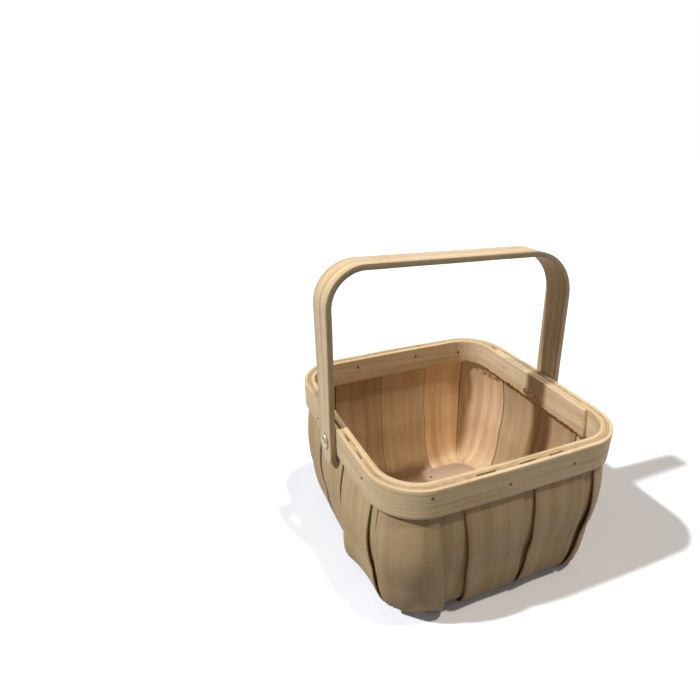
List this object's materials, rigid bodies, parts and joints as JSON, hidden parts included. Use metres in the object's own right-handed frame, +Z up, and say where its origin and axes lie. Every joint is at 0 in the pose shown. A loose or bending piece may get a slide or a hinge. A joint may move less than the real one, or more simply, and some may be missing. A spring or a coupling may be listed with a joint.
{
  "type": "berry basket",
  "caption": "Small rounded-square basket of bent wood veneer slats held between two bentwood rim hoops, with a flat bentwood bail handle on brass rivets.",
  "frame": {"origin": "on the surface the basket stands on, under the middle of the rim", "axes": "+Z up, X from the left handle pivot to the right one, +Y towards the back"},
  "size_m": [0.2188, 0.2047, 0.2611],
  "materials": {
    "hoop_wood": "bare sanded veneer strip, pale, with fine straight grain",
    "slat_wood": "bare rotary-cut veneer, warm beige, with soft long grain",
    "inner_slat_wood": "bare rotary-cut veneer, slightly pinker beige",
    "panel_wood": "bare thin plywood, pinkish beige",
    "handle_wood": "bare sanded bent strip, pale",
    "brass": "plain brass plate, slightly dull"
  },
  "bodies": {
    "basket": {"bottom_panel": "panel_wood", "inner_hoop": "hoop_wood", "inner_slat_back_1": "inner_slat_wood", "inner_slat_back_2": "inner_slat_wood", "inner_slat_back_3": "inner_slat_wood", "inner_slat_back_left_corner": "inner_slat_wood", "inner_slat_back_right_corner": "inner_slat_wood", "inner_slat_front_1": "inner_slat_wood", "inner_slat_front_2": "inner_slat_wood", "inner_slat_front_3": "inner_slat_wood", "inner_slat_front_left_corner": "inner_slat_wood", "inner_slat_front_right_corner": "inner_slat_wood", "inner_slat_left_1": "inner_slat_wood", "inner_slat_left_2": "inner_slat_wood", "inner_slat_left_3": "inner_slat_wood", "inner_slat_right_1": "inner_slat_wood", "inner_slat_right_2": "inner_slat_wood", "outer_hoop": "hoop_wood", "outer_slat_back_1": "slat_wood", "outer_slat_back_2": "slat_wood", "outer_slat_back_3": "slat_wood", "outer_slat_back_left_corner": "slat_wood", "outer_slat_back_right_corner": "slat_wood", "outer_slat_front_1": "slat_wood", "outer_slat_front_2": "slat_wood", "outer_slat_front_left_corner": "slat_wood", "outer_slat_front_right_corner": "slat_wood", "outer_slat_left_1": "slat_wood", "outer_slat_left_2": "slat_wood", "outer_slat_left_3": "slat_wood", "outer_slat_right_1": "slat_wood", "outer_slat_right_2": "slat_wood", "outer_slat_right_3": "slat_wood", "rivet_left": "brass", "rivet_right": "brass"},
    "bail": {"handle": "handle_wood"}
  },
  "joints": [
    {"name": "handle_swing", "type": "hinge", "parent": "basket", "child": "bail", "pos_m": [0, 0, 0.1222], "axis": [1, 0, 0], "range_deg": [-122.5, 127.5]}
  ]
}
